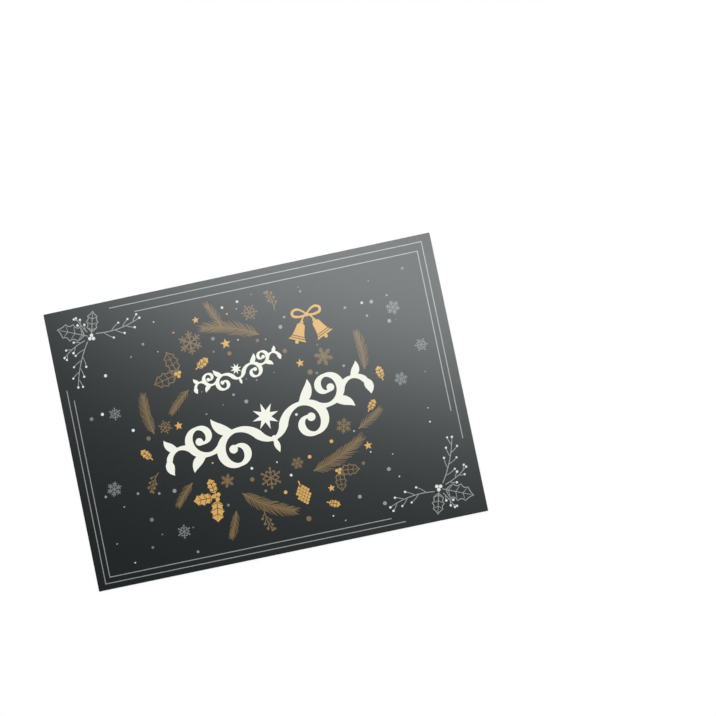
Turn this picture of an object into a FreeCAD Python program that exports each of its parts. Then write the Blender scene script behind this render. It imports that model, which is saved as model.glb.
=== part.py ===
"""A flat greeting card, printed on one side: one trimmed sheet of card board.

The card lies on a table with its printed face up. X runs along the long side, Y runs from the foot
of the printed design to its head, and Z points up out of the printed face. The origin is under the
middle of the card, on the back that rests on the table. All sizes are in millimetres.
"""

import FreeCAD, Part
import os

# The trimmed sheet, 7 by 5 inches.
card_width = 177.8
card_height = 127.0
board_thickness = 0.40

# The guillotine blade comes down on a stack of cards from the printed side. It presses the rim of
# that side into a small round shoulder, and leaves the rim of the back sharp.
face_shoulder = 0.08

# The four corners are cut square. Handling takes off the point.
corner_round = 0.30


def trimmed_sheet():
    """The square-cut sheet, its middle over the origin and its back on the table."""
    left_foot = FreeCAD.Vector(-card_width / 2, -card_height / 2, 0)
    return Part.makeBox(card_width, card_height, board_thickness, left_foot)


def stands_upright(edge):
    """True for an edge through the board's thickness, at a corner of the card."""
    ends = [vertex.Point for vertex in edge.Vertexes]
    return abs(ends[0].z - ends[1].z) > board_thickness / 2


def lies_on_face(edge):
    """True for an edge round the rim of the printed face."""
    return edge.BoundBox.ZMin > board_thickness / 2


def card():
    """The finished card: corners worn first, so that the shoulder follows them round."""
    sheet = trimmed_sheet()
    corners = [edge for edge in sheet.Edges if stands_upright(edge)]
    sheet = sheet.makeFillet(corner_round, corners)
    face_rim = [edge for edge in sheet.Edges if lies_on_face(edge)]
    return sheet.makeFillet(face_shoulder, face_rim)


os.makedirs("parts", exist_ok=True)
card().exportStep("parts/card.step")
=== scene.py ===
"""The looks of a flat greeting card: its printed board, the inks on it, and a plain white studio.

The design is drawn in millimetres from the card's middle. A point of it is a complex number: the
real part runs along the card's long side, and the imaginary part from the design's foot to its
head. A shape is a list of such points, anticlockwise, and what is drawn is a list of shapes.
Headings are in degrees, anticlockwise from the long side. The board, its print and the films of
ink are in millimetres too, and the studio is in metres.
"""

import cmath
import math
import random

import bpy
from mathutils import Matrix, Vector, geometry
from mathutils.bvhtree import BVHTree


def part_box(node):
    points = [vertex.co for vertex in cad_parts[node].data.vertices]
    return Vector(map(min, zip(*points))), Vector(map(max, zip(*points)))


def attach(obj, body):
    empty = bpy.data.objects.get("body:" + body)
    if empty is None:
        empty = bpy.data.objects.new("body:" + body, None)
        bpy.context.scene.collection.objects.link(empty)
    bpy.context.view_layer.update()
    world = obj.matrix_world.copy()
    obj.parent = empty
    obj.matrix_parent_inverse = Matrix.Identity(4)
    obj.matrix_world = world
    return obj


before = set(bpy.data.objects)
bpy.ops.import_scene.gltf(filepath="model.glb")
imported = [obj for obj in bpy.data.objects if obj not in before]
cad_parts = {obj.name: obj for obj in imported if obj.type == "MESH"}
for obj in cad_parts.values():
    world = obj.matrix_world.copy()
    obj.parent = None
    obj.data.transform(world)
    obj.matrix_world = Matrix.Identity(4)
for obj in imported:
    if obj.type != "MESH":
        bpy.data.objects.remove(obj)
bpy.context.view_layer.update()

MM = 0.001
card_low, card_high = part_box("card")
half_width = (card_high.x - card_low.x) / 2 / MM
half_height = (card_high.y - card_low.y) / 2 / MM
face_z = card_high.z

# The design: a seed for its ornaments and one for its snow, the middle of the wreath, the width of
# the frames' lines, the steps in which volutes are drawn, and the slant of both scrollworks.
ornament_seed = 7
snow_seed = 70
wreath_centre = -3 + 0j
frame_line = 0.34
degrees_a_step = 5
scroll_slant = 10.8

# The films of ink: their rim is a slope, and they dip into the board, so that no gap shows. Corners
# of a drawing that are closer than the weld become one.
rim_width = 0.03
ink_dip = 0.004
weld = 0.002

# Finish of every printed surface, under the same clear varnish. The opaque white inks lie on top
# of the varnish, and are duller.
varnish_roughness = 0.30
roughness_swing = 0.02
board_ior = 1.5
plain_specular = 0.5
opaque_specular = 0.06

# How far down the card's edge the print reaches, how much of that the blade chips off at most, and
# the height over which the print fades out there.
print_reach = 0.065
chip_depth = 0.05
print_fade = 0.008

# Every ink: its slot's name, its colour, how uneven its tone is, and its specular level.
inks = {
    "white_ink": ("white_ink", (0.76, 0.76, 0.74), 0.02, opaque_specular),
    "line_grey_ink": ("grey_ink", (0.310, 0.314, 0.306), 0.03, 0.76),
    "soft_grey_ink": ("grey_ink", (0.28, 0.30, 0.30), 0.03, plain_specular),
    "faint_grey_ink": ("grey_ink", (0.185, 0.192, 0.192), 0.03, plain_specular),
    "gold_ink": ("gold_ink", (0.69, 0.39, 0.104), 0.035, 0.46),
    "bronze_ink": ("bronze_ink", (0.20, 0.125, 0.050), 0.045, plain_specular),
    "cream_ink": ("cream_ink", (0.916, 0.902, 0.806), 0.015, opaque_specular),
}

# Every film: its ink and its height. Where two of them touch, they have different heights.
films = (
    ("border_lines", "line_grey_ink", 0.020),
    ("corner_sprays", "line_grey_ink", 0.020),
    ("corner_berries", "white_ink", 0.030),
    ("snow_bright", "white_ink", 0.024),
    ("snow_soft", "soft_grey_ink", 0.020),
    ("snow_faint", "faint_grey_ink", 0.016),
    ("snowflakes_faint", "faint_grey_ink", 0.016),
    ("fir_twigs", "bronze_ink", 0.020),
    ("snowflakes_bronze", "bronze_ink", 0.020),
    ("berry_sprigs", "bronze_ink", 0.020),
    ("holly_outlines", "bronze_ink", 0.020),
    ("dots_bronze", "bronze_ink", 0.020),
    ("holly_leaves", "gold_ink", 0.024),
    ("holly_berries", "gold_ink", 0.032),
    ("bells", "gold_ink", 0.024),
    ("pine_cone", "gold_ink", 0.024),
    ("stars", "gold_ink", 0.024),
    ("dots_gold", "gold_ink", 0.024),
    ("scrollwork_large", "cream_ink", 0.030),
    ("scrollwork_small", "cream_ink", 0.030),
)

# The camera: its lens, how the card is turned and tipped before it, in degrees, and where the
# middle of the card's face then lies in the camera's own axes.
lens_length = 100.56
card_turn = 11.833
card_tip_sideways = -2.61
card_tip_back = -2.45
card_seen_at = (-0.0420, -0.0242, -0.8956)

# The lamp: its middle, from the middle of the card's face, its sides, the heading of the long side,
# and its power in watts.
lamp_place = Vector((0.041, 0.126, 0.5))
lamp_length, lamp_width = 0.409, 0.145
lamp_heading = -27.44
lamp_power = 1.79

# The walls' brightness at eye level and overhead.
wall_light, ceiling_light = 1.1, 0.09

# The floor: half its side, and how much it is lifted to white where the lamp doesn't light it. Then
# the lamp's light on it: how bright that is at its middle, that middle as a share of the way to the
# point under the lamp, and the distance from there at which a quarter of it is left.
floor_reach = 6.0
full_lift = 0.68
lamp_light_level = 0.52
lamp_light_share = 0.7
lamp_light_reach = 0.54


# ---------------------------------------------------------------------------------------- drawing

def unit(heading):
    """One millimetre along a heading."""
    return cmath.rect(1, math.radians(heading))


def heading_of(step):
    """The heading of a step, in degrees."""
    return math.degrees(cmath.phase(step))


def disc(centre, radius):
    """A round shape."""
    sides = 16 + int(10 * radius)
    return [centre + radius * unit(360 * k / sides) for k in range(sides)]


def walk(start, heading, length, turn=0.0, steps=12, bend=1.0):
    """A path that turns on its way: evenly, or the sooner the smaller the bend."""
    path = [start]
    for k in range(steps):
        share = ((k + 0.5) / steps) ** bend
        path.append(path[-1] + length / steps * unit(heading + turn * share))
    return path


def smooth(points, steps):
    """A path through all the points, rounded between them as a Catmull-Rom spline."""
    ends = [2 * points[0] - points[1], *points, 2 * points[-1] - points[-2]]
    path = []
    for before, near, far, after in zip(ends, ends[1:], ends[2:], ends[3:]):
        for k in range(steps):
            t = k / steps
            linear = (far - before) * t
            square = (2 * before - 5 * near + 4 * far - after) * t ** 2
            cube = (3 * near - before - 3 * far + after) * t ** 3
            path.append((2 * near + linear + square + cube) / 2)
    return path + [points[-1]]


def way_at(path, k):
    """The direction of a path at one of its points."""
    step = path[min(k + 1, len(path) - 1)] - path[max(k - 1, 0)]
    return step / abs(step)


def stroke(path, pen):
    """A stroke with round ends. The pen gives the width from the share of the way and the direction."""
    halves = [pen(k / (len(path) - 1), way_at(path, k)) / 2 for k in range(len(path))]
    left = [p + 1j * way_at(path, k) * halves[k] for k, p in enumerate(path)]
    right = [p - 1j * way_at(path, k) * halves[k] for k, p in enumerate(path)]
    ink = [[right[k], right[k + 1], left[k + 1], left[k]] for k in range(len(path) - 1)]
    return ink + [disc(path[end], halves[end]) for end in (0, -1) if halves[end] > 0.05]


def even(width):
    """A pen of one width."""
    return lambda share, way: width


def taper(start, end):
    """A pen that narrows evenly."""
    return lambda share, way: start + (end - start) * share


def swell(least, most):
    """A pen that is widest in the middle of the way."""
    return lambda share, way: least + (most - least) * math.sin(math.pi * share)


def nib(weight, start, end):
    """A broad pen: strokes that rise or fall are thick, level ones thin, and it narrows evenly."""
    def pen(share, way):
        return weight * (0.44 + 0.56 * abs(way.imag) ** 1.3) * (start + (end - start) * share)
    return pen


def placed(ink, centre, heading):
    """The same drawing, turned and moved."""
    return [[centre + unit(heading) * point for point in shape] for shape in ink]


def mirrored(ink):
    """The drawing's image in the upright axis."""
    return [[-point.conjugate() for point in reversed(shape)] for shape in ink]


def half_turned(ink):
    """The drawing turned upside down round the card's middle."""
    return [[-point for point in shape] for shape in ink]


# ----------------------------------------------------------------------------------------- motifs

def fir_twig(base, heading, length, spread, turn, rng):
    """A bent stem with close needles on both sides, shorter towards its ends."""
    needle_pen = taper(0.42, 0.14)
    stem = walk(base, heading - turn / 2, length, turn)
    ink = stroke(stem, taper(0.68, 0.3))
    pairs = int(length / 0.95)
    for n in range(pairs):
        share = (n + 0.6) / pairs
        k, rest = divmod(share * (len(stem) - 1), 1)
        k = int(k)
        point = stem[k] + (stem[k + 1] - stem[k]) * rest
        reach = 0.75 * spread * math.sin(math.pi * (0.16 + 0.72 * share)) ** 0.55
        for side in (1, -1):
            lean = side * (46 - 18 * share + rng.uniform(-4, 4))
            needle_length = reach * rng.uniform(0.88, 1.06)
            along = heading_of(way_at(stem, k)) + lean
            ink += stroke(walk(point, along, needle_length, -side * 12, steps=3), needle_pen)
    return ink + stroke(walk(stem[-1], heading + turn / 2, spread / 3, steps=2), needle_pen)


def holly_margin(length, width, side, spines=3):
    """One side of a holly leaf, from its foot to its tip: a list of hollow bows between spines."""
    tips = [0j]
    for n in range(spines):
        share = (n + 0.8) / (spines + 0.75)
        bulge = math.sin(math.pi * (0.12 + 0.8 * share)) ** 0.8
        tips.append(complex(length * share, side * width / 2 * bulge))
    tips.append(complex(length, 0))
    bows = []
    for n, (near, far) in enumerate(zip(tips, tips[1:])):
        middle = (near + far) / 2
        pull = complex(middle.real, middle.imag / 2)
        if n == 0:
            pull = complex(0.9 * middle.real, side * width * 0.28)
        shares = [k / 5 for k in range(6)]
        bows.append([near * (1 - s) ** 2 + 2 * pull * s * (1 - s) + far * s ** 2 for s in shares])
    return bows


def holly_outline(base, heading, length, width, line):
    """A holly leaf in lines: margin, midrib and a vein to each spine."""
    ink = []
    for side in (1, -1):
        bows = holly_margin(length, width, side)
        ink += stroke([point for bow in bows for point in bow[:-1]] + [bows[-1][-1]], even(line))
        for bow in bows[1:]:
            foot = complex(bow[0].real - width * 0.22, 0)
            ink += stroke([foot, foot + (bow[0] - foot) * 0.7], taper(line * 0.8, line * 0.5))
    rib = [complex(length * share, 0) for share in (-0.12, 0.4, 0.9)]
    return placed(ink + stroke(rib, taper(line, line * 0.6)), base, heading)


def holly_leaf(base, heading, length, width, gap=0.34):
    """A filled holly leaf: its lobes, parted by thin gaps along the midrib and the veins."""
    ink = []
    for side in (1, -1):
        bows = holly_margin(length, width, side)
        feet = [max(bow[0].real - width * 0.22, 2.6 * gap) for bow in bows[1:]]
        rib = [0, *feet, length]
        for n, bow in enumerate(bows):
            first, last = n == 0, n == len(bows) - 1
            low = complex(rib[n] + gap * (1.5 if first else 0.4), side * gap / 2)
            high = complex(rib[n + 1] - gap * (2.5 if last else 0.6), 0 if last else side * gap / 2)
            shrunk = [point + gap * (0.45 - 0.18 * k) for k, point in enumerate(bow)]
            lobe = [low, *shrunk, high]
            ink.append(lobe if side < 0 else lobe[::-1])
    ink += stroke([complex(-length * 0.14, 0), complex(1.8 * gap, 0)], taper(0.5, 0.4))
    return placed(ink, base, heading)


def snowflake(centre, radius, turn, kind, boldness=0.11):
    """Six arms with branches. Kind 0 has two pairs each, 1 one pair and a dot, 2 three and a ring."""
    line = boldness * radius + 0.06
    branches = (((0.42, 0.26), (0.66, 0.30)),
                ((0.50, 0.42),),
                ((0.34, 0.20), (0.56, 0.24), (0.78, 0.18)))[kind]
    ink = []
    for arm in range(6):
        way = unit(turn + 60 * arm)
        ink += stroke([0j, radius * way], even(line))
        for share, size in branches:
            fork = share * radius * way
            for side in (60, -60):
                ink += stroke([fork, fork + size * radius * way * unit(side)], even(line * 0.9))
        if kind == 1:
            ink.append(disc(radius * way, line * 0.95))
        if kind == 2:
            corners = [0.26 * radius * way * unit(side) for side in (-30, 30)]
            ink += stroke(corners, even(line * 0.9))
    if kind != 2:
        ink.append(disc(0j, line * 1.15))
    return placed(ink, centre, 0)


def berry_sprig(base, heading, length, turn, pairs, line, berry, rng):
    """A bent stem with stalks to both sides. Returns its lines and its berries."""
    stem = walk(base, heading, length, turn)
    lines = stroke(stem, taper(line * 1.15, line * 0.8))
    berries = [disc(stem[-1], berry)]
    for n in range(2 * pairs):
        share = 0.24 + 0.62 * n / (2 * pairs - 1)
        k = int(share * (len(stem) - 1))
        side = 1 if n % 2 else -1
        reach = length * (0.24 - 0.1 * share) + 0.6
        stalk = walk(stem[k], heading_of(way_at(stem, k)) + side * 48, reach, -side * 25, steps=4)
        lines += stroke(stalk, even(line * 0.85))
        berries.append(disc(stalk[-1], berry * rng.uniform(0.85, 1.1)))
    return lines, berries


def berry_trio(centre, radius, turn):
    """Three berries side by side."""
    return [disc(centre + 1.25 * radius * unit(turn + 120 * n), radius) for n in range(3)]


def star(centre, radius, points):
    """A star with straight sides, one point up."""
    corners = range(2 * points)
    return [[centre + radius * (0.42 if k % 2 else 1) * unit(90 + 180 * k / points) for k in corners]]


def bell(crown, lean, size):
    """A bell that hangs from its crown: dome, waist, two bands and a clapper, parted by thin gaps."""
    def half_girth(depth):
        return size * (0.22 + 0.09 * math.sin(math.pi * depth / 2) + 0.19 * depth ** 4)

    def band(top, foot):
        depths = [top + (foot - top) * k / 8 for k in range(9)]
        right = [complex(half_girth(depth), -0.82 * depth * size) for depth in depths]
        return [-point.conjugate() for point in right] + right[::-1]

    dome = [complex(0.22 * way.real, 0.15 * way.imag) * size for way in map(unit, range(0, 181, 15))]
    ink = [dome, band(0, 0.68), band(0.735, 0.83), band(0.885, 1), disc(-0.9j * size, size * 0.1)]
    loop = [complex(0, 0.2) * size + 0.07 * size * unit(turn) for turn in range(-90, 271, 30)]
    ink += stroke(loop, even(size * 0.05))
    hung = [[point - 0.22j * size for point in shape] for shape in ink]
    return placed(hung, crown, lean)


def bells(knot, size):
    """Two bells that hang from a bow by its tails."""
    loop = [0, 0.2 + 0.22j, 0.5 + 0.37j, 0.76 + 0.26j, 0.72 + 0.03j, 0.42 - 0.06j, 0.18 - 0.04j, 0]
    tail = [0, 0.16 - 0.08j, 0.27 - 0.2j, 0.34 - 0.36j]
    ink = stroke([size * point for point in smooth(loop, 5)], swell(size * 0.07, size * 0.14))
    ink += stroke([size * point for point in smooth(tail, 4)], even(size * 0.08))
    ink += bell(size * tail[-1], 25, size)
    return placed(ink + mirrored(ink) + [disc(0j, size * 0.12)], knot, 0)


def cone_scale(deep, wide):
    """One scale, round in front and with two hollows behind, so that rows of them nest."""
    front = [unit(turn) for turn in range(-90, 91, 18)]
    upper = [-1 + 1j + unit(turn) for turn in range(-18, -91, -18)]
    lower = [-1 - 1j + unit(turn) for turn in range(72, 0, -18)]
    return [complex(point.real * deep, point.imag * wide) for point in front + upper + lower]


def pine_cone(base, heading, length, width):
    """Rows of nested scales, parted by thin gaps, on a short stalk."""
    rows = (2, 3, 4, 3, 4, 3, 2, 1)
    step = length / (len(rows) + 1)
    half = width / 8
    ink = stroke([complex(-length * 0.16, 0), complex(step * 0.3, 0)], even(0.5))
    for row, count in enumerate(rows):
        for n in range(count):
            centre = complex(step * (row + 1), (2 * n - count + 1) * half)
            ink.append([centre + 0.84 * point for point in cone_scale(step, half)])
    return placed(ink, base, heading)


def curled_leaf(base, heading, length, width, turn):
    """A pointed leaf, fullest in its first half."""
    def pen(share, way):
        return 0.05 + width * (0.30 + 3.1 * share) * (1 - share) ** 1.15
    return stroke(walk(base, heading, length, turn, steps=20), pen)


def volute(start, heading, side, radius, turns, keep):
    """A spiral path that leaves start at a heading and winds inward, keeping that share a turn."""
    pull = -math.log(keep) / 360
    first = heading + side * math.degrees(math.atan2(1, math.degrees(pull)))
    pole = start + radius * unit(first)
    sweep = [degrees_a_step * k for k in range(int(360 * turns / degrees_a_step) + 1)]
    return [pole - radius * math.exp(-pull * turn) * unit(first + side * turn) for turn in sweep]


def scroll_half(radius, weight):
    """The right half of a scrollwork: a stem that forks into volutes and ends in two leaves."""
    # The stem's climb, a volute's size to the last one's, and the radius that a turn leaves of it.
    rise, smaller, keep = 60, 0.82, 0.31
    # The steps along a volute at which its leaf sprouts and the next volute forks off.
    sprout, fork = 65 // degrees_a_step, 105 // degrees_a_step
    stem = walk(-0.76j * radius, 0, 0.66 * radius, rise, steps=16, bend=0.7)
    ink = stroke(stem, nib(weight, 0.62, 0.97))
    start, heading, side = stem[-1], rise, -1
    for n in range(2):
        curl = volute(start, heading, side, radius, 1.3, keep)
        ink += stroke(curl, nib(weight, 0.97, 0.6)) + [disc(curl[-1], 0.40 * weight)]
        leaf_way = heading_of(way_at(curl, sprout)) - 26 * side
        ink += curled_leaf(curl[sprout], leaf_way, 1.0 * radius, 1.1 * weight, -62 * side)
        start, heading, side = curl[fork], heading_of(way_at(curl, fork)), -side
        radius, weight = radius * smaller, weight * math.sqrt(smaller)
    tail = volute(start, heading, side, radius, 0.36, keep)
    ink += stroke(tail, nib(weight, 0.97, 0.75))
    end_way = heading_of(way_at(tail, len(tail) - 1))
    ink += curled_leaf(tail[-1], end_way, 0.9 * radius, 1.15 * weight, 50 * side)
    middle = len(tail) // 2
    leaf_way = heading_of(way_at(tail, middle)) - 30 * side
    return ink + curled_leaf(tail[middle], leaf_way, 0.95 * radius, 1.05 * weight, -60 * side)


def scrollwork(centre, slant, radius, weight):
    """Two halves that meet in a knot with a drop below it, and a star above."""
    half = scroll_half(radius, weight)
    knot = -0.76j * radius
    ink = half + mirrored(half) + [disc(knot, 0.30 * weight)]
    ink += curled_leaf(knot - 0.05j * radius, -90, 0.5 * radius, 0.62 * weight, 0)
    ink += star(0.14j * radius, 0.52 * radius, 8)
    return placed(ink, centre, slant)


# ----------------------------------------------------------------------------------------- design

def bar(start, end, width):
    """A straight line with square ends that cover its corners."""
    along = (end - start) / abs(end - start) * width / 2
    side = 1j * along
    return [start - along - side, end + along - side, end + along + side, start - along + side]


def border(line):
    """Two frames of thin line, each open at the head's left and the foot's right corner."""
    # From the card's edges: each frame's left, right, head and foot line.
    insets = ((3.62, 4.38, 3.30, 2.75), (6.05, 7.0, 7.12, 5.35))
    # From the card's open corners, along its long and its short side: where each frame's lines stop.
    head_left_gaps = ((30, 36), (41, 41))
    foot_right_gaps = ((37, 34), (43, 47))
    ink = []
    for (left, right, head, foot), start, stop in zip(insets, head_left_gaps, foot_right_gaps):
        foot_left = complex(left - half_width, foot - half_height)
        head_right = complex(half_width - right, half_height - head)
        head_start = complex(start[0] - half_width, head_right.imag)
        left_start = complex(foot_left.real, half_height - start[1])
        foot_stop = complex(half_width - stop[0], foot_left.imag)
        right_stop = complex(head_right.real, stop[1] - half_height)
        ink += [bar(head_start, head_right, line), bar(head_right, right_stop, line),
                bar(left_start, foot_left, line), bar(foot_left, foot_stop, line)]
    return ink


def corner_spray(rng):
    """Holly leaves and berry sprigs in the head's left corner. Returns lines and berries."""
    heart = complex(19.4 - half_width, half_height - 14.6)
    lines = holly_outline(heart - 3.0 + 1.6j, 157, 12.5, 7.6, 0.32)
    lines += holly_outline(heart + 0.6 + 2.6j, 76, 9.2, 5.4, 0.32)
    berries = berry_trio(heart, 0.78, 80)
    for offset, heading, length, turn, pairs in ((2.4 + 1.4j, -8, 21, 32, 3),
                                                 (-2.2 - 1.6j, 236, 21, 22, 3),
                                                 (-3.4 - 0.8j, 196, 12, 26, 2),
                                                 (-1.5 + 2.9j, 124, 8.0, -12, 2)):
        sprig = berry_sprig(heart + offset, heading, length, turn, pairs, 0.30, 0.51, rng)
        lines += sprig[0]
        berries += sprig[1]
    return lines, berries


def at(angle, radius):
    """A point of the wreath."""
    return wreath_centre + radius * unit(angle)


# Where the berries of the wreath's holly lie: among filled leaves, and between leaves in lines.
filled_heart = at(232, 41.5)
upper_heart = at(142, 40)
lower_heart = at(313, 44.5)


def wreath_twigs(rng):
    """Fir twigs round the wreath: angle, radius, length, spread, lean and turn of each."""
    ink = []
    for angle, radius, length, spread, lean, turn in ((11, 52, 16, 6.0, 80, 18),
                                                      (78, 35.5, 25, 8.0, 84, 26),
                                                      (101, 42, 12, 5.0, 12, 10),
                                                      (179, 47.5, 17, 6.2, -84, -22),
                                                      (150, 33, 12, 4.8, 72, 14),
                                                      (215, 43, 11, 5.0, 12, 14),
                                                      (248, 36.5, 24, 7.8, 82, 26),
                                                      (246, 45, 11, 4.8, 2, -12),
                                                      (303, 36, 25, 8.0, 80, 24),
                                                      (340, 46, 12, 5.2, 50, 10)):
        ink += fir_twig(at(angle, radius), angle + lean, length, spread, turn, rng)
    return ink


def wreath_snowflakes(rng):
    """Snowflakes of the wreath: angle, radius, size and kind of each."""
    ink = []
    for angle, radius, size, kind in ((122, 44, 5.2, 0), (29, 39, 4.1, 2), (270, 29.5, 4.4, 1),
                                      (340, 39, 3.4, 0), (176.5, 42, 2.8, 1), (83, 45.5, 3.3, 1),
                                      (234, 33, 3.0, 2), (297, 28.5, 2.7, 0)):
        ink += snowflake(at(angle, radius), size, rng.uniform(0, 60), kind)
    return ink


def wreath_sprigs(rng):
    """Berry sprigs of the wreath: angle, radius, length and lean of each."""
    ink = []
    for angle, radius, length, lean in ((69, 47, 9, 20), (262, 43, 10, 8), (199, 52, 9, 26)):
        sprig = berry_sprig(at(angle, radius), angle + lean, length, 24, 3, 0.38, 0.6, rng)
        ink += sprig[0] + sprig[1]
    return ink


def wreath_outlines():
    """Two pairs of holly leaves in lines."""
    ink = []
    for lean, size in ((50, 10.5), (-35, 10.0)):
        upper = upper_heart + 1.2 * unit(142 + lean)
        lower = lower_heart + unit(313 + lean)
        ink += holly_outline(upper, 142 + lean, size, size * 0.62, 0.44)
        ink += holly_outline(lower, 303 + lean, size * 0.8, size * 0.5, 0.40)
    return ink


def wreath_leaves():
    """Filled holly leaves: three round one heart, and single ones."""
    ink = []
    for lean, size in ((30, 9.8), (-52, 8.9), (-130, 7.0)):
        base = filled_heart + 1.8 * unit(232 + lean)
        ink += holly_leaf(base, 232 + lean, size, size * 0.64)
    for angle, radius, size, lean in ((4, 58, 6.0, 96), (191, 52, 6.0, -60), (350, 50, 5.5, 60),
                                      (131, 34, 6.5, -100), (297, 51, 5.5, 40)):
        ink += holly_leaf(at(angle, radius), angle + lean, size, size * 0.64)
    return ink


def wreath_berries():
    """The berries in the hearts of the holly."""
    hearts = ((filled_heart, 0.95), (upper_heart, 0.8), (lower_heart, 0.7))
    return [berry for heart, radius in hearts for berry in berry_trio(heart, radius, 40)]


def wreath_stars():
    """Five-pointed stars: angle, radius and size of each."""
    ink = []
    for angle, radius, size in ((103, 34.5, 2.4), (38, 29.5, 2.0), (177, 36, 2.0),
                                (112, 50.5, 1.7), (332, 51.5, 2.0), (303, 47, 1.7)):
        ink += star(at(angle, radius), size, 5)
    return ink


def field_snowflakes(rng):
    """Faint snowflakes outside the wreath: place, size and kind of each."""
    ink = []
    for centre, size, kind in ((-73 - 20j, 3.2, 0), (-66 + 13j, 2.5, 1), (66 + 34j, 3.1, 0),
                               (75 + 15j, 2.6, 1), (63 + 2j, 2.9, 0), (-46 - 45j, 2.7, 1)):
        ink += snowflake(centre, size, rng.uniform(0, 60), kind, 0.13)
    return ink


class Clearance:
    """What is printed already, so that the snow keeps clear of it and of itself."""

    def __init__(self, drawings):
        self.trees = []
        for ink in drawings:
            points, triangles = covered(ink)
            self.trees.append(BVHTree.FromPolygons([(*point, 0) for point in points], triangles))
        self.dots = []

    def free(self, spot, radius, margin):
        """True if a dot there keeps the margin from everything."""
        reach = radius + margin
        if any(abs(spot - centre) < reach + size for centre, size in self.dots):
            return False
        point = (spot.real, spot.imag, 0)
        return all(tree.find_nearest(point, reach)[0] is None for tree in self.trees)

    def sprinkle(self, count, radii, margin, pick, rng):
        """That many dots, each at the first free spot that pick gives."""
        ink = []
        while len(ink) < count:
            spot, radius = pick(), rng.choice(radii)
            if self.free(spot, radius, margin):
                self.dots.append((spot, radius))
                ink.append(disc(spot, radius))
        return ink


def snow(drawings):
    """Dots of snow inside the frames, and of gold and bronze in the wreath, clear of the drawings."""
    rng = random.Random(snow_seed)

    def in_wreath():
        return at(rng.uniform(0, 360), rng.uniform(28, 53))

    def in_frames():
        return complex(rng.uniform(9 - half_width, half_width - 10),
                       rng.uniform(8 - half_height, half_height - 10.5))

    # How many of each, their radii, the margin round each and where they fall.
    sorts = (("dots_gold", 6, (0.40, 0.52, 0.65, 0.80), 1.2, in_wreath),
             ("dots_bronze", 8, (0.75, 0.95, 1.15), 1.2, in_wreath),
             ("snow_bright", 26, (0.23, 0.31, 0.40, 0.58, 0.68), 1.0, in_frames),
             ("snow_soft", 28, (0.22, 0.36, 0.56, 0.84), 1.0, in_frames),
             ("snow_faint", 16, (0.34, 0.60, 0.85), 1.0, in_frames))
    clear = Clearance(drawings)
    return {name: clear.sprinkle(count, radii, margin, pick, rng)
            for name, count, radii, margin, pick in sorts}


def design():
    """Every drawing on the card, by the name of its film."""
    rng = random.Random(ornament_seed)
    lines, berries = corner_spray(rng)
    drawings = {"corner_sprays": lines + half_turned(lines),
                "corner_berries": berries + half_turned(berries),
                "fir_twigs": wreath_twigs(rng),
                "snowflakes_bronze": wreath_snowflakes(rng),
                "berry_sprigs": wreath_sprigs(rng),
                "holly_outlines": wreath_outlines(),
                "holly_leaves": wreath_leaves(),
                "holly_berries": wreath_berries(),
                "bells": bells(at(52, 49.5), 8.2),
                "pine_cone": pine_cone(at(289, 37), 281, 9.6, 6.8),
                "stars": wreath_stars(),
                "scrollwork_large": scrollwork(0.5 - 3.6j, scroll_slant, 11.9, 4.7),
                "scrollwork_small": scrollwork(-8.4 + 20.9j, scroll_slant, 5.0, 2.15),
                "snowflakes_faint": field_snowflakes(rng)}
    drawings.update(snow(list(drawings.values())))
    drawings["border_lines"] = border(frame_line)
    return drawings


# ------------------------------------------------------------------------------------------ films

def covered(ink):
    """The area that the shapes cover together, as points and triangles that don't overlap."""
    points = [Vector((point.real, point.imag)) for shape in ink for point in shape]
    outlines, first = [], 0
    for shape in ink:
        outlines.append(list(range(first, first + len(shape))))
        first += len(shape)
    shapes = BVHTree.FromPolygons([(*point, 0) for point in points], outlines)
    points, _, triangles, *_ = geometry.delaunay_2d_cdt(points, [], outlines, 0, weld)

    def is_inked(triangle):
        middle = sum((points[corner] for corner in triangle), Vector((0, 0))) / 3
        return shapes.ray_cast((*middle, 1), (0, 0, -1))[0] is not None

    return points, [triangle for triangle in triangles if is_inked(triangle)]


def linked(name, data):
    """A new object in the scene."""
    made = bpy.data.objects.new(name, data)
    bpy.context.scene.collection.objects.link(made)
    return made


def pushed_out(points, outline):
    """The points, with those on the outline moved out by the rim's width."""
    push = [Vector((0, 0)) for _ in points]
    for edge in outline:
        along = (points[edge[1]] - points[edge[0]]).normalized()
        for end in edge:
            push[end] += Vector((along.y, -along.x))
    # The sum of two edges' normals, divided by half its square, moves both edges out by one. At a
    # sharp corner the point moves less, so that it makes no spike.
    return [point + 2 * rim_width * out / max(out.length_squared, 1) for point, out in zip(points, push)]


def film(name, ink, height, material):
    """A closed film of ink on the printed face: flat on top, with a rim that slopes into the board."""
    points, triangles = covered(ink)
    edges = [edge for a, b, c in triangles for edge in ((a, b), (b, c), (c, a))]
    inner = {edge[::-1] for edge in edges}
    outline = [edge for edge in edges if edge not in inner]
    top_z, low_z = face_z / MM + height, face_z / MM - ink_dip
    corners = [(*point, top_z) for point in points]
    corners += [(*point, low_z) for point in pushed_out(points, outline)]
    count = len(points)
    faces = list(triangles)
    faces += [(c + count, b + count, a + count) for a, b, c in triangles]
    faces += [(a + count, b + count, b, a) for a, b in outline]
    mesh = bpy.data.meshes.new(name)
    mesh.from_pydata([[value * MM for value in corner] for corner in corners], [], faces)
    mesh.materials.append(material)
    piece = linked(name, mesh)
    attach(piece, "root")


# -------------------------------------------------------------------------------------- materials

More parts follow.
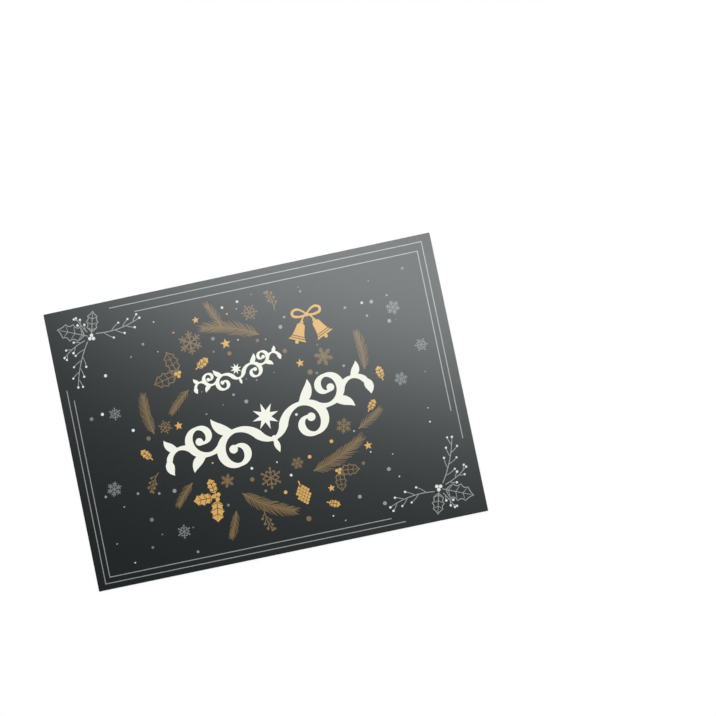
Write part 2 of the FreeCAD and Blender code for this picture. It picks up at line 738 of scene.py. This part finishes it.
class Nodes:
    """A node tree. Each node is made and wired in one call."""

    def __init__(self, owner):
        owner.use_nodes = True
        self.tree = owner.node_tree

    def node(self, kind, settings=None, **inputs):
        """A new node. An input is a constant or another node's output."""
        made = self.tree.nodes.new(kind)
        for name, value in (settings or {}).items():
            setattr(made, name, value)
        self.fill(made, **inputs)
        return made

    def fill(self, made, **inputs):
        """Sets or links a node's inputs, whose names are written with _ for a space."""
        for name, value in inputs.items():
            self.put(made.inputs[name.replace("_", " ")], value)

    def put(self, socket, value):
        """Links a socket or sets it to a constant. A colour is opaque."""
        if isinstance(value, bpy.types.NodeSocket):
            self.tree.links.new(value, socket)
        elif socket.type == "RGBA":
            socket.default_value = (*value, 1)
        else:
            socket.default_value = value

    def upward(self, vector):
        """The upright part of a vector."""
        return self.node("ShaderNodeSeparateXYZ", Vector=vector).outputs["Z"]

    def span(self, value, low, high, to_low=0.0, to_high=1.0):
        """A value's range from low to high, mapped to another one."""
        mapped = self.node("ShaderNodeMapRange", Value=value, From_Min=low, From_Max=high,
                           To_Min=to_low, To_Max=to_high)
        return mapped.outputs[0]

    def calculate(self, operation, *operands):
        """One step of arithmetic."""
        made = self.node("ShaderNodeMath", {"operation": operation})
        for socket, operand in zip(made.inputs, operands):
            self.put(socket, operand)
        return made.outputs[0]

    def mix(self, share, first, second, kind="FLOAT"):
        """A number between two."""
        made = self.node("ShaderNodeMix", {"data_type": kind}, Factor=share, A=first, B=second)
        return made.outputs["Result"]

    def blend(self, share, first, second):
        """A colour between two."""
        return self.mix(share, first, second, "RGBA")


class Shader(Nodes):
    """A material with one surface shader. Its textures are laid out in the object's own space."""

    def __init__(self, name):
        self.material = bpy.data.materials.new(name)
        super().__init__(self.material)
        self.surface = self.tree.nodes["Principled BSDF"]
        self.place = self.node("ShaderNodeTexCoord").outputs["Object"]
        self.set(IOR=board_ior)

    def set(self, **inputs):
        """Sets or links the surface's own sockets."""
        self.fill(self.surface, **inputs)

    def noise(self, grain, stretch=(1, 1, 1), detail=3.0):
        """Noise with a grain of that many millimetres, stretched along the axes."""
        scale = [1 / (grain * MM * axis) for axis in stretch]
        spread = self.node("ShaderNodeMapping", Vector=self.place, Scale=scale)
        return self.node("ShaderNodeTexNoise", Vector=spread.outputs[0], Scale=1.0,
                         Detail=detail).outputs["Fac"]

    def varnish(self, grain):
        """The varnish's roughness, which follows the board's grain."""
        least, most = varnish_roughness - roughness_swing, varnish_roughness + roughness_swing
        return self.span(grain, 0.3, 0.7, least, most)

    def bump(self, height, depth):
        """Relief of that many millimetres between the height's 0 and 1."""
        self.set(Normal=self.node("ShaderNodeBump", Height=height, Distance=depth * MM).outputs[0])


def tinted(colour, share):
    """A colour, lighter or darker by a factor."""
    return [channel * share for channel in colour]


def ink_material(name, colour, mottle, specular):
    """An ink: slightly uneven in tone, with the board's fibres under it."""
    shader = Shader(name)
    clouds = shader.span(shader.noise(6.0), 0.3, 0.7)
    grain = shader.noise(0.5)
    tone = shader.calculate("MULTIPLY_ADD", grain, 0.35, shader.calculate("MULTIPLY", clouds, 0.65))
    colours = tinted(colour, 1 - mottle), tinted(colour, 1 + mottle)
    shader.set(Base_Color=shader.blend(tone, *colours), Roughness=shader.varnish(grain),
               Specular_IOR_Level=specular)
    shader.bump(shader.noise(0.7, detail=4.0), 0.0012)
    return shader.material


def card_material():
    """The board: charcoal print on its face and shoulder, pale core at the cut, bare board behind."""
    shader = Shader("printed_board")
    height = shader.upward(shader.place)
    upward = shader.upward(shader.node("ShaderNodeNewGeometry").outputs["Normal"])

    clouds = shader.span(shader.noise(9.0), 0.3, 0.7)
    charcoal = (0.0050, 0.0074, 0.0082)
    print_colour = shader.blend(clouds, tinted(charcoal, 0.94), tinted(charcoal, 1.06))

    plies = shader.span(shader.noise(0.35, stretch=(6, 6, 0.15)), 0.35, 0.65)
    core_colour = shader.blend(plies, (0.66, 0.64, 0.60), (0.84, 0.83, 0.80))

    fibres = shader.span(shader.noise(0.8, stretch=(3, 1, 1), detail=6.0), 0.35, 0.65)
    back_colour = shader.blend(fibres, (0.74, 0.73, 0.69), (0.82, 0.81, 0.78))
    behind = shader.span(upward, -0.4, -0.6)
    bare_colour = shader.blend(behind, core_colour, back_colour)

    # The blade chips the print here and there where it enters the shoulder.
    chips = shader.span(shader.noise(0.45, detail=5.0), 0.62, 0.70, 0.0, chip_depth * MM)
    lowest, half_fade = face_z - print_reach * MM, print_fade / 2 * MM
    chipped_height = shader.calculate("SUBTRACT", height, chips)
    printed = shader.span(chipped_height, lowest - half_fade, lowest + half_fade)

    bare_relief = shader.noise(0.6, stretch=(2, 1, 1), detail=6.0)
    print_relief = shader.calculate("MULTIPLY", shader.noise(0.7, detail=4.0), 0.12)
    shader.set(Base_Color=shader.blend(printed, bare_colour, print_colour),
               Roughness=shader.mix(printed, 0.85, shader.varnish(shader.noise(0.5))))
    shader.bump(shader.mix(printed, bare_relief, print_relief), 0.010)
    return shader.material


# ----------------------------------------------------------------------------------------- studio

def camera():
    """Almost straight above the card, and turned, so that the card is seen askew."""
    lens_data = bpy.data.cameras.new("camera")
    lens_data.sensor_width = 36
    lens_data.lens = lens_length
    lens_data.clip_start, lens_data.clip_end = 0.05, 20
    viewer = linked("camera", lens_data)
    turned = (Matrix.Rotation(math.radians(card_tip_back), 4, "X")
              @ Matrix.Rotation(math.radians(card_tip_sideways), 4, "Y")
              @ Matrix.Rotation(math.radians(card_turn), 4, "Z"))
    face_middle = Matrix.Translation((0, 0, face_z))
    viewer.matrix_world = (Matrix.Translation(card_seen_at) @ turned @ face_middle.inverted()).inverted()
    bpy.context.scene.camera = viewer


def soft_box():
    """The one lamp: a long soft box above the card's head. Its reflection veils the print there."""
    lamp_data = bpy.data.lights.new("soft_box", "AREA")
    lamp_data.shape = "RECTANGLE"
    lamp_data.size, lamp_data.size_y = lamp_length, lamp_width
    lamp_data.energy = lamp_power
    lamp_data.color = (0.95, 1.0, 1.0)
    lamp = linked("soft_box", lamp_data)
    lamp.visible_camera = False
    back = lamp_place.normalized()
    along = unit(lamp_heading)
    level = Vector((along.real, along.imag, 0))
    long_side = (level - back * level.dot(back)).normalized()
    turned = Matrix((long_side, back.cross(long_side), back)).transposed()
    lamp.matrix_world = Matrix.Translation(lamp_place + Vector((0, 0, face_z))) @ turned.to_4x4()


def dome():
    """The studio's walls: pale at eye level and dim overhead, and plain white to the camera."""
    world = bpy.data.worlds.new("studio")
    bpy.context.scene.world = world
    sky = Nodes(world)
    height = sky.upward(sky.node("ShaderNodeTexCoord").outputs["Generated"])
    walls = sky.span(height, 0.0, 1.0, wall_light, ceiling_light)
    to_camera = sky.node("ShaderNodeLightPath").outputs["Is Camera Ray"]
    sky.fill(sky.tree.nodes["Background"], Color=(1, 1, 1), Strength=sky.mix(to_camera, walls, 1.0))


def floor():
    """A wide white table top, lifted to white for the camera and in reflections."""
    corners = [(x * floor_reach, y * floor_reach, 0) for x, y in ((-1, -1), (1, -1), (1, 1), (-1, 1))]
    mesh = bpy.data.meshes.new("floor")
    mesh.from_pydata(corners, [], [(0, 1, 2, 3)])
    ground = linked("floor", mesh)
    shader = Shader("floor")
    mesh.materials.append(shader.material)

    # The lift makes up for the lamp's light, which fades by the square of one plus a squared distance.
    away = shader.node("ShaderNodeVectorMath", {"operation": "DISTANCE"})
    shader.put(away.inputs[0], shader.place)
    shader.put(away.inputs[1], (lamp_light_share * lamp_place.x, lamp_light_share * lamp_place.y, 0))
    spread = shader.calculate("DIVIDE", away.outputs["Value"], lamp_light_reach)
    fading = shader.calculate("ADD", shader.calculate("MULTIPLY", spread, spread), 1.0)
    lamp_light = shader.calculate("MULTIPLY", shader.calculate("POWER", fading, -2.0), lamp_light_level)
    lift = shader.calculate("SUBTRACT", full_lift, lamp_light)

    rays = shader.node("ShaderNodeLightPath").outputs
    seen = shader.calculate("MAXIMUM", rays["Is Camera Ray"], rays["Is Glossy Ray"])
    seen = shader.calculate("MAXIMUM", seen, rays["Is Transmission Ray"])
    shader.set(Base_Color=(0.82, 0.80, 0.80), Roughness=1.0, Specular_IOR_Level=0.0,
               Emission_Color=(1, 1, 1), Emission_Strength=shader.calculate("MULTIPLY", seen, lift))


# ------------------------------------------------------------------------------------------ scene

def printed_card():
    """The board's looks, and the films of ink on it."""
    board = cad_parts["card"]
    board.data.materials.clear()
    board.data.materials.append(card_material())
    drawings = design()
    materials = {name: ink_material(name, *look) for name, (_, *look) in inks.items()}
    for name, ink_name, height in films:
        film(name, drawings[name], height, materials[ink_name])


bpy.context.scene.view_settings.view_transform = "Standard"
camera()
soft_box()
dome()
floor()
printed_card()
